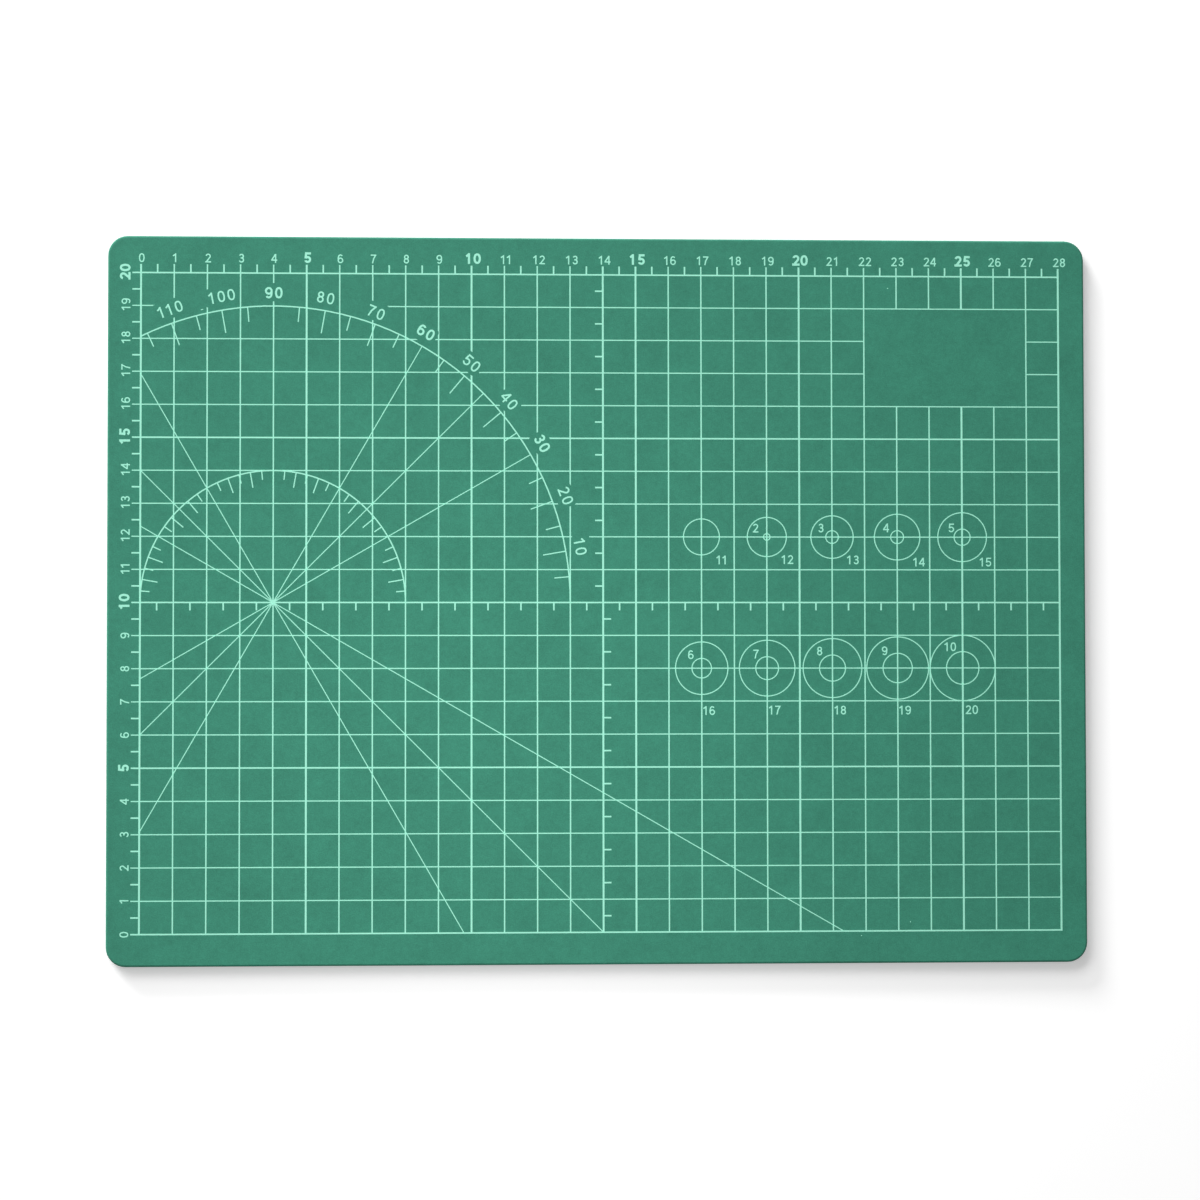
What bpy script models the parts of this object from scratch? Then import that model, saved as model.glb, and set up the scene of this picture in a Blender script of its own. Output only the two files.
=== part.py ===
"""Self-healing cutting mat: five bonded plies with a ruled ink print on the top face.

Units are metres and +Z is up. The origin is the centre of the underside, +X runs
along the long side and +Y towards the top of the print. The print is laid out in
squares, counted from the lower left corner of the ruled field.
"""

import bisect
import math

import bmesh
import bpy
from mathutils import Matrix, Vector

# Ruled field and the bare border around it: together they set the sheet's size
SQUARE = 0.010
COLUMNS = 28
ROWS = 20
LEFT_BORDER = 0.0100
RIGHT_BORDER = 0.0080
BOTTOM_BORDER = 0.0098
TOP_BORDER = 0.0112

# Die-cut outline
CORNER_RADIUS = 0.0060
CORNER_STEPS = 8
RIM_ROUND = 0.0006
RIM_STEPS = 3
RIM_MOST_OF_PLY = 0.9
SHARP_EDGE_DEGREES = 40

# Plies, bonded by a thin line of adhesive
FACE_PLY = 0.00080
TIE_PLY = 0.00035
CORE_PLY = 0.00050
BOND_LINE = 0.00005

# Ink film, and the clearance under each layer of it
INK_FILM = 0.00004
INK_CLEARANCE = 0.00003
CUTTER_FILMS = 3

# Ruled lines: those that run up the sheet print wider than those that run across it
UPRIGHT_LINE = 0.00040
UPRIGHT_HEAVY_LINE = 0.00056
LEVEL_LINE = 0.00033
LEVEL_HEAVY_LINE = 0.00045
HEAVY_EVERY = 5

# Bare panel in the upper right of the field, in squares
PANEL_COLUMNS = 5
PANEL_ROWS = 3
PANEL_FROM_RIGHT = 1
PANEL_FROM_TOP = 1

# Protractor: its centre and radii in squares, its marks in degrees
CENTRE_COLUMN = 4
CENTRE_ROW = 10
LARGE_RADIUS = 9
SMALL_RADIUS = 4
SMALL_SWEEP_DEGREES = 180
ARC_LINE = 0.00040
RAY_LINE = 0.00028
TICK_LINE = 0.00034
DEGREE_STEP = 5
RAY_ANGLES = (30, 45, 60, 120, 135, 150, 210, 225, 240, 300, 315, 330)
RAYS_TO_ARC = (30, 45, 60)
LARGE_LONG_TICK = 0.0070
LARGE_SHORT_TICK = 0.0045
SMALL_LONG_TICK = 0.0047
SMALL_SHORT_TICK = 0.0027
ARC_SEGMENT_DEGREES = 2.5

# Windows left clear of ruled lines, where the protractor's figures stand outside the large arc.
# Each lies a little off its own mark: clockwise along the arc, and outwards, in squares.
CROWN_DEGREES = 90
LABEL_OFFSET = 0.0042
LABEL_SHIFTS = {
    10: (-0.07, 0.08),
    20: (-0.03, -0.01),
    30: (-0.13, 0.05),
    40: (-0.11, -0.03),
    50: (-0.08, 0.01),
    60: (-0.11, -0.04),
    70: (-0.10, -0.05),
    80: (-0.06, -0.03),
    90: (0.0, 0.0),
    100: (0.05, 0.0),
    110: (0.09, 0.0),
}
LABEL_DIGIT_WIDTH = 0.0031
LABEL_MARGIN = 0.0009
LABEL_WINDOW_HEIGHT = 0.0056
LABEL_WINDOW_CORNER = 0.0010
LABEL_WINDOW_STEPS = 3

# Colours as linear RGB, with roughness
FACE_GREEN = (0.055, 0.254, 0.171)
TIE_GREEN = (0.030, 0.120, 0.085)
CORE_WHITE = (0.640, 0.660, 0.620)
INK_MINT = (0.340, 0.800, 0.560)
PVC_ROUGHNESS = 0.62
CORE_ROUGHNESS = 0.50
INK_ROUGHNESS = 0.55

# Derived sizes
MAT_LENGTH = LEFT_BORDER + COLUMNS * SQUARE + RIGHT_BORDER
MAT_WIDTH = BOTTOM_BORDER + ROWS * SQUARE + TOP_BORDER
FIELD_CORNER = Vector((LEFT_BORDER - MAT_LENGTH / 2, BOTTOM_BORDER - MAT_WIDTH / 2, 0.0))
MAT_THICKNESS = 2 * FACE_PLY + 2 * TIE_PLY + CORE_PLY + 4 * BOND_LINE
GRID_LEVEL = MAT_THICKNESS + INK_CLEARANCE
PROTRACTOR_LEVEL = GRID_LEVEL + INK_FILM + INK_CLEARANCE
RIM = min(RIM_ROUND, RIM_MOST_OF_PLY * FACE_PLY)


def finish(name, colour, roughness):
    """A plain Principled material."""
    material = bpy.data.materials.new(name)
    material.use_nodes = True
    shader = material.node_tree.nodes["Principled BSDF"]
    shader.inputs["Base Color"].default_value = (*colour, 1.0)
    shader.inputs["Roughness"].default_value = roughness
    shader.inputs["Metallic"].default_value = 0.0
    material.diffuse_color = (*colour, 1.0)
    return material


def add_object(name, mesh, material=None, location=(0, 0, 0)):
    """Turns a bmesh into a named object. Without a material it is a hidden cutter or helper."""
    data = bpy.data.meshes.new(name)
    mesh.to_mesh(data)
    mesh.free()
    thing = bpy.data.objects.new(name, data)
    thing.location = location
    bpy.context.scene.collection.objects.link(thing)
    if material:
        data.materials.append(material)
    else:
        thing.hide_render = True
        thing.display_type = "WIRE"
    return thing


def thicken(mesh, height):
    """Gives every flat face in the mesh the same height, as closed bodies with outward faces."""
    grown = bmesh.ops.extrude_face_region(mesh, geom=mesh.faces[:])
    lifted = [item for item in grown["geom"] if isinstance(item, bmesh.types.BMVert)]
    bmesh.ops.translate(mesh, verts=lifted, vec=(0, 0, height))
    bmesh.ops.recalc_face_normals(mesh, faces=mesh.faces[:])


def rounded_panel(mesh, length, width, corner, steps, place):
    """A flat rectangle with round corners, moved to its place by a matrix."""
    made = bmesh.ops.create_grid(mesh, x_segments=1, y_segments=1, size=0.5)
    bmesh.ops.scale(mesh, verts=made["verts"], vec=(length, width, 1.0))
    rounded = bmesh.ops.bevel(
        mesh,
        geom=made["verts"],
        offset=corner,
        segments=steps,
        profile=0.5,
        affect="VERTICES",
        material=-1,
    )
    bmesh.ops.transform(mesh, matrix=place, verts=rounded["verts"])


def add_ply(name, material, bottom, thickness, rounded_height=None):
    """One sheet of the laminate. rounded_height is the local height of the face whose rim is rounded."""
    mesh = bmesh.new()
    rounded_panel(mesh, MAT_LENGTH, MAT_WIDTH, CORNER_RADIUS, CORNER_STEPS, Matrix())
    thicken(mesh, thickness)
    if rounded_height is not None:
        rim = [
            edge
            for edge in mesh.edges
            if all(abs(vert.co.z - rounded_height) < thickness / 2 for vert in edge.verts)
        ]
        bmesh.ops.bevel(
            mesh,
            geom=rim,
            offset=RIM,
            segments=RIM_STEPS,
            profile=0.5,
            affect="EDGES",
            clamp_overlap=False,
            material=-1,
        )
    ply = add_object(name, mesh, material, (0, 0, bottom))
    ply.data.shade_smooth()
    ply.data.set_sharp_from_angle(angle=math.radians(SHARP_EDGE_DEGREES))
    return ply


def add_plies():
    """The laminate, from the underside up: face, tie, core, tie, face."""
    face = finish("self_healing_pvc", FACE_GREEN, PVC_ROUGHNESS)
    tie = finish("tie_pvc", TIE_GREEN, PVC_ROUGHNESS)
    core = finish("core_pvc", CORE_WHITE, CORE_ROUGHNESS)
    stack = (
        ("bottom_cutting_face", face, FACE_PLY, 0.0),
        ("lower_tie_ply", tie, TIE_PLY, None),
        ("rigid_core", core, CORE_PLY, None),
        ("upper_tie_ply", tie, TIE_PLY, None),
        ("top_cutting_face", face, FACE_PLY, FACE_PLY),
    )
    bottom = 0.0
    for name, material, thickness, rounded_height in stack:
        add_ply(name, material, bottom, thickness, rounded_height)
        bottom += thickness + BOND_LINE


def line_edges(count, regular, heavy):
    """Both edges of each ruled line across the field, in order. The middle and the last line are heavy too."""
    edges = []
    for index in range(count + 1):
        is_heavy = index % HEAVY_EVERY == 0 or index in (count // 2, count)
        half = (heavy if is_heavy else regular) / 2
        edges += [index * SQUARE - half, index * SQUARE + half]
    return edges


def is_printed(column, row):
    """Whether a face of the line lattice is inked: even indices are lines, odd ones the squares between."""
    if column % 2 and row % 2:
        return False
    right = 2 * (COLUMNS - PANEL_FROM_RIGHT)
    left = right - 2 * PANEL_COLUMNS
    top = 2 * (ROWS - PANEL_FROM_TOP)
    bottom = top - 2 * PANEL_ROWS
    if left < column < right and bottom < row < top:
        return False
    # The arc runs along this line under its own figures, so the line stops on both sides of them
    crown_row = 2 * (CENTRE_ROW + LARGE_RADIUS)
    reach = LARGE_RADIUS * math.cos(math.radians(max(LABEL_SHIFTS)))
    first = 2 * round(CENTRE_COLUMN + reach)
    last = 2 * round(CENTRE_COLUMN - reach)
    return not (row == crown_row and column % 2 and first < column < last)


def label_windows():
    """Turned blocks round the places of the protractor's figures, which cut the ruled lines there."""
    mesh = bmesh.new()
    radius = LARGE_RADIUS * SQUARE + LABEL_OFFSET
    height = CUTTER_FILMS * INK_FILM
    for degrees, (along, outward) in LABEL_SHIFTS.items():
        turn = Matrix.Rotation(math.radians(degrees - CROWN_DEGREES), 4, "Z")
        place = turn @ Matrix.Translation((along * SQUARE, radius + outward * SQUARE, 0))
        width = LABEL_DIGIT_WIDTH * len(str(degrees)) + LABEL_MARGIN
        rounded_panel(
            mesh, width, LABEL_WINDOW_HEIGHT, LABEL_WINDOW_CORNER, LABEL_WINDOW_STEPS, place
        )
    thicken(mesh, height)
    middle = GRID_LEVEL + (INK_FILM - height) / 2
    return add_object("label_windows", mesh, location=protractor_centre() + Vector((0, 0, middle)))


def protractor_centre():
    """The protractor's centre on the sheet, at height zero."""
    return FIELD_CORNER + Vector((CENTRE_COLUMN, CENTRE_ROW, 0.0)) * SQUARE


def cut(thing, cutter, operation):
    """Joins or cuts a body with another one."""
    step = thing.modifiers.new(cutter.name, "BOOLEAN")
    step.operation = operation
    step.object = cutter
    step.solver = "EXACT"


def add_grid(ink):
    """The ruled centimetre field: one net of ink, open in every square."""
    uprights = line_edges(COLUMNS, UPRIGHT_LINE, UPRIGHT_HEAVY_LINE)
    levels = line_edges(ROWS, LEVEL_LINE, LEVEL_HEAVY_LINE)
    mesh = bmesh.new()
    across = len(uprights) - 1
    upward = len(levels) - 1
    bmesh.ops.create_grid(mesh, x_segments=across, y_segments=upward, size=1.0)
    for vert in mesh.verts:
        vert.co.x = uprights[round((vert.co.x + 1) / 2 * across)]
        vert.co.y = levels[round((vert.co.y + 1) / 2 * upward)]
    bare = []
    for face in mesh.faces:
        middle = face.calc_center_median()
        column = bisect.bisect(uprights, middle.x) - 1
        row = bisect.bisect(levels, middle.y) - 1
        if not is_printed(column, row):
            bare.append(face)
    bmesh.ops.delete(mesh, geom=bare, context="FACES")
    thicken(mesh, INK_FILM)
    grid = add_object("printed_grid", mesh, ink, FIELD_CORNER + Vector((0, 0, GRID_LEVEL)))
    cut(grid, label_windows(), "DIFFERENCE")


def add_bar(mesh, angle, start, end, width):
    """A flat radial bar from one radius to another."""
    length = end - start
    place = Matrix.Rotation(angle, 4, "Z") @ Matrix.Translation(((start + end) / 2, 0, 0))
    size = Matrix.Diagonal((length, width, 1.0, 1.0))
    bmesh.ops.create_grid(mesh, x_segments=1, y_segments=1, size=0.5, matrix=place @ size)


def add_arc(mesh, radius, sweep):
    """A flat band about the centre, from 0 degrees round to the sweep."""
    inner = mesh.verts.new((radius - ARC_LINE / 2, 0, 0))
    outer = mesh.verts.new((radius + ARC_LINE / 2, 0, 0))
    edge = mesh.edges.new((inner, outer))
    bmesh.ops.spin(
        mesh,
        geom=[inner, outer, edge],
        cent=(0, 0, 0),
        axis=(0, 0, 1),
        angle=sweep,
        steps=math.ceil(math.degrees(sweep) / ARC_SEGMENT_DEGREES),
        use_duplicate=False,
    )


def unit(angle):
    """The direction at an angle from +X."""
    return Vector((math.cos(angle), math.sin(angle), 0.0))


def ray_length(degrees):
    """How far a ray runs: to the large arc, or to the edge of the ruled field that it meets first."""
    if degrees in RAYS_TO_ARC:
        return LARGE_RADIUS * SQUARE
    angle = math.radians(degrees)
    to_side = CENTRE_COLUMN if math.cos(angle) < 0 else COLUMNS - CENTRE_COLUMN
    to_end = CENTRE_ROW if math.sin(angle) < 0 else ROWS - CENTRE_ROW
    return SQUARE * min(to_side / abs(math.cos(angle)), to_end / abs(math.sin(angle)))


def large_sweep():
    """The angle at which the large arc meets the left edge of the ruled field."""
    return math.pi - math.acos(CENTRE_COLUMN / LARGE_RADIUS)


def add_star(mesh):
    """All the rays as one flat star. Its middle is the polygon of the notches where neighbouring rays part."""
    turns = [math.radians(degrees) for degrees in RAY_ANGLES]
    notches = bmesh.ops.create_circle(mesh, cap_ends=True, segments=len(turns), radius=RAY_LINE)["verts"]
    for notch, turn, following in zip(notches, turns, turns[1:] + [turns[0] + math.tau]):
        radius = RAY_LINE / (2 * math.sin((following - turn) / 2))
        notch.co = radius * unit((turn + following) / 2)
    sides = [mesh.edges.get((notches[index - 1], notches[index])) for index in range(len(notches))]
    for side, degrees, turn in zip(sides, RAY_ANGLES, turns):
        grown = bmesh.ops.extrude_edge_only(mesh, edges=[side])["geom"]
        for tip in (item for item in grown if isinstance(item, bmesh.types.BMVert)):
            tip.co += unit(turn) * (ray_length(degrees) - tip.co.dot(unit(turn)))


def add_ticks(mesh, radius, last, long_tick, short_tick):
    """Marks inside an arc, longer at every second one. A ray takes the place of a mark."""
    for degrees in range(DEGREE_STEP, last, DEGREE_STEP):
        if degrees in RAY_ANGLES:
            continue
        length = short_tick if degrees % (2 * DEGREE_STEP) else long_tick
        add_bar(mesh, math.radians(degrees), radius - length, radius, TICK_LINE)


def add_protractor(ink):
    """Two arcs with their degree marks and the angle rays, as one body of ink over the grid."""
    large = LARGE_RADIUS * SQUARE
    small = SMALL_RADIUS * SQUARE
    place = protractor_centre() + Vector((0, 0, PROTRACTOR_LEVEL))

    arcs = bmesh.new()
    add_arc(arcs, large, large_sweep())
    add_arc(arcs, small, math.radians(SMALL_SWEEP_DEGREES))
    thicken(arcs, INK_FILM)
    protractor = add_object("printed_protractor", arcs, ink, place)

    marks = bmesh.new()
    add_ticks(marks, large, math.ceil(math.degrees(large_sweep())), LARGE_LONG_TICK, LARGE_SHORT_TICK)
    add_ticks(marks, small, SMALL_SWEEP_DEGREES, SMALL_LONG_TICK, SMALL_SHORT_TICK)
    thicken(marks, INK_FILM)
    cut(protractor, add_object("degree_marks", marks, location=place), "UNION")

    rays = bmesh.new()
    add_star(rays)
    thicken(rays, INK_FILM)
    cut(protractor, add_object("angle_rays", rays, location=place), "UNION")


def main():
    """Clears the scene and builds the laminate and its print."""
    for old in list(bpy.data.objects):
        bpy.data.objects.remove(old)
    add_plies()
    ink = finish("print_ink", INK_MINT, INK_ROUGHNESS)
    add_grid(ink)
    add_protractor(ink)


main()
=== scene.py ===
"""Self-healing cutting mat: its finishes, its small print and the studio around it.

Lengths are metres in the part's own frame. The print is laid out in squares of the ruled
field, counted from its lower left corner, with angles in degrees.
"""

import logging
import math
from collections.abc import Iterator, Sequence
from dataclasses import dataclass
from enum import Enum

import bmesh
import bpy
from mathutils import Matrix, Vector

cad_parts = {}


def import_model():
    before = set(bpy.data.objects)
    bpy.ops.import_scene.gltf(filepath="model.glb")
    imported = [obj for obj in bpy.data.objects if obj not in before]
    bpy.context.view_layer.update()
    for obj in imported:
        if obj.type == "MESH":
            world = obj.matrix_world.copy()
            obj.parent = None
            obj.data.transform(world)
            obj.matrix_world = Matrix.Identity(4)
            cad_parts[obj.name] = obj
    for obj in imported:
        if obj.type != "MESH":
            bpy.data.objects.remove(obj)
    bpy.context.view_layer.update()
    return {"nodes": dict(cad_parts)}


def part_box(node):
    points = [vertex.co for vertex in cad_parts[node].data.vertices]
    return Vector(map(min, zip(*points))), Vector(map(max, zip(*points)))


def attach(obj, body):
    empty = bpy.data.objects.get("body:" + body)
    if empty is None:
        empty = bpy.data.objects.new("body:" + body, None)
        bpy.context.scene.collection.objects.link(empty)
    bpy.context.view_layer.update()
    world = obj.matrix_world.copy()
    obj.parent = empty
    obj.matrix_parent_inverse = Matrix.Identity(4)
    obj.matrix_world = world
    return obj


LOG = logging.getLogger("cutting_mat")
BODY = "root"
MATT_SPECULAR = 0.15
RIGHT_ANGLE = 90.0
WHITE = (1.0, 1.0, 1.0, 1.0)
Colour = tuple[float, float, float]
Turns = tuple[float, float, float]
Spot = tuple[float, float]
Bar = tuple[Vector, Vector, float]


class Film(Enum):
    """The ink film that a piece of the print lies in, named by its CAD node."""

    GROUND = "printed_grid"
    OVERPRINT = "printed_protractor"

    def heights(self) -> tuple[float, float]:
        """The lower and upper face of the film."""
        low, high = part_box(self.value)
        return low.z, high.z


class Weight(Enum):
    """Stroke width of a numeral, as a share of its height, and the width of its box."""

    REGULAR = (0.140, 0.64)
    MEDIUM = (0.175, 0.67)
    BOLD = (0.205, 0.70)

    @property
    def stroke(self) -> float:
        """Stroke width."""
        return self.value[0]

    @property
    def box(self) -> float:
        """Width of the box that a numeral fills."""
        return self.value[1]


# ---- node helpers ----


class Bench:
    """A node tree with short ways to add, set and link nodes."""

    def __init__(self, tree: bpy.types.NodeTree) -> None:
        """Takes the tree that nodes are added to.

        Args:
            tree: a material's, a world's or a group's node tree.
        """
        self.tree = tree

    def add(self, kind: str, **settings: object) -> bpy.types.Node:
        """Adds a node.

        Args:
            kind: the node's type name, without the ShaderNode prefix.
            settings: properties of the node.

        Returns:
            The new node.
        """
        node = self.tree.nodes.new("ShaderNode" + kind)
        for name, value in settings.items():
            setattr(node, name, value)
        return node

    def feed(self, socket: bpy.types.NodeSocket, source: object) -> None:
        """Links a socket to a source socket, or sets it to a plain value.

        Args:
            socket: the input.
            source: an output socket, a number or a colour.
        """
        if isinstance(source, bpy.types.NodeSocket):
            self.tree.links.new(source, socket)
        else:
            socket.default_value = source

    def math(self, operation: str, *terms: object) -> bpy.types.NodeSocket:
        """Adds a Math node.

        Args:
            operation: the node's operation.
            terms: its inputs, as sockets or numbers.

        Returns:
            The node's output.
        """
        node = self.add("Math", operation=operation)
        for socket, term in zip(node.inputs, terms):
            self.feed(socket, term)
        return node.outputs[0]

    def mix(
        self, blend: str, factor: object, first: object, second: object
    ) -> bpy.types.NodeSocket:
        """Adds a Mix node for colours.

        Args:
            blend: the blend type.
            factor: how much of the second colour.
            first: the first colour or socket.
            second: the second colour or socket.

        Returns:
            The mixed colour.
        """
        node = self.add("Mix", data_type="RGBA", blend_type=blend)
        self.feed(node.inputs[0], factor)
        self.feed(node.inputs[6], first)
        self.feed(node.inputs[7], second)
        return node.outputs[2]

    def ease(
        self, value: bpy.types.NodeSocket, start: float, end: float, first: float, last: float
    ) -> bpy.types.NodeSocket:
        """Adds a Map Range node with smooth ends.

        Args:
            value: the value that is mapped.
            start: where the result begins to change.
            end: where it has changed.
            first: the result up to the start.
            last: the result past the end.

        Returns:
            The mapped value.
        """
        node = self.add("MapRange", interpolation_type="SMOOTHSTEP")
        for socket, source in zip(node.inputs, (value, start, end, first, last)):
            self.feed(socket, source)
        return node.outputs[0]

    def noise(
        self, place: bpy.types.NodeSocket, size: float, detail: float
    ) -> bpy.types.NodeSocket:
        """Adds a Noise texture.

        Args:
            place: the coordinates.
            size: about how wide a feature is, in metres.
            detail: octaves of finer noise.

        Returns:
            Its value, about 0.5 on average.
        """
        node = self.add("TexNoise")
        self.feed(node.inputs["Vector"], place)
        node.inputs["Scale"].default_value = 1.0 / size
        node.inputs["Detail"].default_value = detail
        return node.outputs[0]

    def spread(self, value: bpy.types.NodeSocket, depth: object) -> bpy.types.NodeSocket:
        """Turns a value about 0.5 into one about 0, scaled by a depth.

        Args:
            value: the noise value.
            depth: how far it swings either way, as a number or a socket.

        Returns:
            The scaled value.
        """
        centred = self.math("SUBTRACT", value, 0.5)
        return self.math("MULTIPLY", centred, depth)

    def relief(
        self, height: bpy.types.NodeSocket, strength: float, distance: float
    ) -> bpy.types.NodeSocket:
        """Adds a Bump node.

        Args:
            height: the height, from 0 to 1.
            strength: how much of the relief shows.
            distance: depth of the relief, in metres.

        Returns:
            The bumped normal.
        """
        node = self.add("Bump")
        node.inputs["Strength"].default_value = strength
        node.inputs["Distance"].default_value = distance
        self.feed(node.inputs["Height"], height)
        return node.outputs["Normal"]


def new_group(name: str, inputs: dict[str, float], outputs: Sequence[str]) -> Bench:
    """Starts a shader node group with number sockets.

    Args:
        name: the group's name.
        inputs: each input's name and default value.
        outputs: the outputs' names.

    Returns:
        The group's bench, with an input and an output node in it.
    """
    tree = bpy.data.node_groups.new(name, "ShaderNodeTree")
    for label, value in inputs.items():
        socket = tree.interface.new_socket(label, in_out="INPUT", socket_type="NodeSocketFloat")
        socket.default_value = value
    for label in outputs:
        tree.interface.new_socket(label, in_out="OUTPUT", socket_type="NodeSocketFloat")
    tree.nodes.new("NodeGroupInput")
    tree.nodes.new("NodeGroupOutput")
    return Bench(tree)


def skin_group() -> bpy.types.NodeTree:
    """Calendered plastic skin: soft clouding, faint flecks and a fine matt grain.

    Returns:
        The node group, with a tone near 1 and a grain height from 0 to 1.
    """
    broad, patch, speck, pore = 0.016, 0.0045, 0.0014, 0.00034
    inputs = {"Cloud": 0.1, "Fleck": 0.1, "Grain": 0.1}
    bench = new_group("plastic_skin", inputs, ("Tone", "Height"))
    given = bench.tree.nodes["Group Input"].outputs
    made = bench.tree.nodes["Group Output"].inputs
    place = bench.add("TexCoord").outputs["Object"]
    grain = bench.noise(place, pore, 1.0)
    layers = (
        bench.spread(bench.noise(place, broad, 2.0), given["Cloud"]),
        bench.spread(bench.noise(place, patch, 1.0), given["Cloud"]),
        bench.spread(bench.noise(place, speck, 2.0), given["Fleck"]),
        bench.spread(grain, given["Grain"]),
    )
    tone = 1.0
    for layer in layers:
        tone = bench.math("ADD", layer, tone)
    bench.feed(made["Tone"], tone)
    bench.feed(made["Height"], grain)
    return bench.tree


def wall_group() -> bpy.types.NodeTree:
    """Die-cut wall: a mask for the sides and rounded rim of the sheet, where the wall colour goes
    (on the face ply partly a painted highlight), and the streaks that the die leaves there.

    Returns:
        The node group, with the mask and a streak tone near 1.
    """
    steep, level = 0.30, 0.95
    streak_size, streak_squeeze = 0.00042, 0.06
    bench = new_group("die_cut_wall", {"Streak": 0.2}, ("Wall", "Tone"))
    given = bench.tree.nodes["Group Input"].outputs
    made = bench.tree.nodes["Group Output"].inputs
    facing = bench.add("SeparateXYZ")
    bench.feed(facing.inputs[0], bench.add("NewGeometry").outputs["Normal"])
    upright = bench.math("ABSOLUTE", facing.outputs["Z"])
    bench.feed(made["Wall"], bench.ease(upright, steep, level, 1.0, 0.0))
    stretch = bench.add("Mapping")
    bench.feed(stretch.inputs["Vector"], bench.add("TexCoord").outputs["Object"])
    stretch.inputs["Scale"].default_value = (1.0, 1.0, streak_squeeze)
    streak = bench.noise(stretch.outputs[0], streak_size, 3.0)
    bench.feed(made["Tone"], bench.math("ADD", bench.spread(streak, given["Streak"]), 1.0))
    return bench.tree


# ---- finishes ----


def start_material(name: str) -> tuple[bpy.types.Material, Bench, bpy.types.Node]:
    """Starts a material that has a Principled shader.

    Args:
        name: the material's name.

    Returns:
        The material, its bench and the shader.
    """
    material = bpy.data.materials.new(name)
    material.use_nodes = True
    return material, Bench(material.node_tree), material.node_tree.nodes["Principled BSDF"]


@dataclass(frozen=True)
class SheetPlastic:
    """Finish of one ply: a matt, faintly clouded plastic with a drier die-cut wall, whose colour is
    partly the cut plastic's own and partly a painted highlight on the rounded rim.
    """

    STREAK = 0.5
    WALL_DRYNESS = 0.18
    GLOSS_SWING = 0.16
    GRAIN_DEPTH = 0.00006

    name: str
    colour: Colour
    wall_colour: Colour
    roughness: float
    cloud: float
    fleck: float
    grain: float
    bump: float

    def material(self, skin: bpy.types.NodeTree, wall: bpy.types.NodeTree) -> bpy.types.Material:
        """Builds the material.

        Args:
            skin: the plastic skin group.
            wall: the die-cut wall group.

        Returns:
            The material.
        """
        material, bench, shader = start_material(self.name)
        surface = bench.add("Group", node_tree=skin)
        surface.inputs["Cloud"].default_value = self.cloud
        surface.inputs["Fleck"].default_value = self.fleck
        surface.inputs["Grain"].default_value = self.grain
        side = bench.add("Group", node_tree=wall)
        side.inputs["Streak"].default_value = self.STREAK
        mask, height = side.outputs["Wall"], surface.outputs["Height"]
        face = bench.mix("MULTIPLY", 1.0, (*self.colour, 1.0), surface.outputs["Tone"])
        # Wall colour with the die streaks; on the face ply it is paler than the face, partly a
        # painted highlight on the rounded rim and sides.
        cut_and_highlight = bench.mix("MULTIPLY", 1.0, (*self.wall_colour, 1.0), side.outputs["Tone"])
        bench.feed(shader.inputs["Base Color"], bench.mix("MIX", mask, face, cut_and_highlight))
        dry = bench.math("MULTIPLY_ADD", mask, self.WALL_DRYNESS, self.roughness)
        rough = bench.math("ADD", dry, bench.spread(height, self.GLOSS_SWING))
        bench.feed(shader.inputs["Roughness"], rough)
        shader.inputs["Specular IOR Level"].default_value = MATT_SPECULAR
        bench.feed(shader.inputs["Normal"], bench.relief(height, self.bump, self.GRAIN_DEPTH))
        return material


@dataclass(frozen=True)
class ScreenInk:
    """Finish of the print: opaque ink laid through a mesh, a little uneven in density."""

    DENSITY_SIZE = 0.0026
    WEAVE_SIZE = 0.00016
    WEAVE_DEPTH = 0.00002

    name: str = "mint_screen_ink"
    colour: Colour = (0.370, 0.865, 0.670)
    roughness: float = 0.70
    gloss_swing: float = 0.20
    uneven: float = 0.10
    bump: float = 0.20

    def material(self) -> bpy.types.Material:
        """Builds the material.

        Returns:
            The material.
        """
        material, bench, shader = start_material(self.name)
        place = bench.add("TexCoord").outputs["Object"]
        density = bench.spread(bench.noise(place, self.DENSITY_SIZE, 2.0), self.uneven)
        weave = bench.noise(place, self.WEAVE_SIZE, 1.0)
        swing = bench.math("ADD", density, bench.spread(weave, self.uneven))
        tone = bench.math("ADD", swing, 1.0)
        colour = bench.mix("MULTIPLY", 1.0, (*self.colour, 1.0), tone)
        bench.feed(shader.inputs["Base Color"], colour)
        rough = bench.math("ADD", bench.spread(weave, self.gloss_swing), self.roughness)
        bench.feed(shader.inputs["Roughness"], rough)
        shader.inputs["Specular IOR Level"].default_value = MATT_SPECULAR
        bench.feed(shader.inputs["Normal"], bench.relief(weave, self.bump, self.WEAVE_DEPTH))
        return material


@dataclass(frozen=True)
class StudioPaper:
    """Finish of the floor: white paper that keeps a shadow and stays white far from the lamps."""

    name: str = "studio_paper"
    albedo: float = 0.87
    glow: float = 0.365
    far_glow: float = 0.90
    fade: Spot = (0.20, 1.20)

    def material(self) -> bpy.types.Material:
        """Builds the material.

        Returns:
            The material.
        """
        material, bench, shader = start_material(self.name)
        shader.inputs["Base Color"].default_value = (self.albedo, self.albedo, self.albedo, 1.0)
        shader.inputs["Roughness"].default_value = 1.0
        shader.inputs["Specular IOR Level"].default_value = 0.0
        shader.inputs["Emission Color"].default_value = WHITE
        away = bench.add("VectorMath", operation="LENGTH")
        bench.feed(away.inputs[0], bench.add("TexCoord").outputs["Object"])
        glow = bench.ease(away.outputs["Value"], *self.fade, self.glow, self.far_glow)
        bench.feed(shader.inputs["Emission Strength"], bench.math("MULTIPLY", seen(bench), glow))
        return material


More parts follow.
